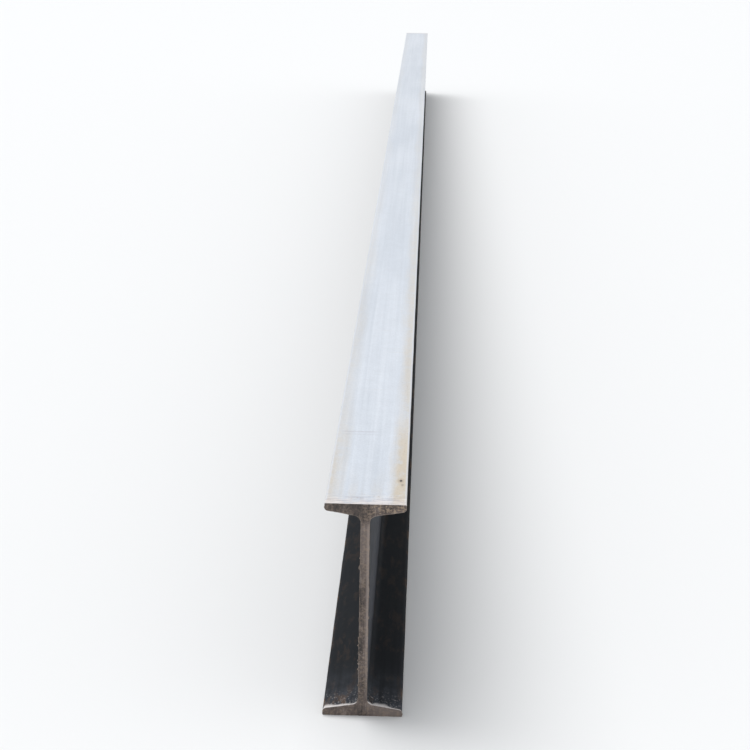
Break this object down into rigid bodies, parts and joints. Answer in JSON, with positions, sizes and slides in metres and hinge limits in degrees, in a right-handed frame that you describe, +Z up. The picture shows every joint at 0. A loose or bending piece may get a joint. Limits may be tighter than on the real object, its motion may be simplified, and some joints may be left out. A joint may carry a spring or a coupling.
{
  "type": "steel h-beam",
  "caption": "Hot-rolled steel beam with tapered flanges joined by a deep web, left plain and cut square at its ends.",
  "frame": {"origin": "middle of the underside of the bottom flange, at half the length", "axes": "+Y along the length, +X across the flanges, +Z up along the web"},
  "size_m": [0.183, 12.192, 0.516],
  "materials": {
    "mill_scale_steel": "dull blue-grey mill scale with light rust along the edges, rough brown cut ends"
  },
  "bodies": {
    "root": {"rolled_beam": "mill_scale_steel"}
  },
  "joints": []
}
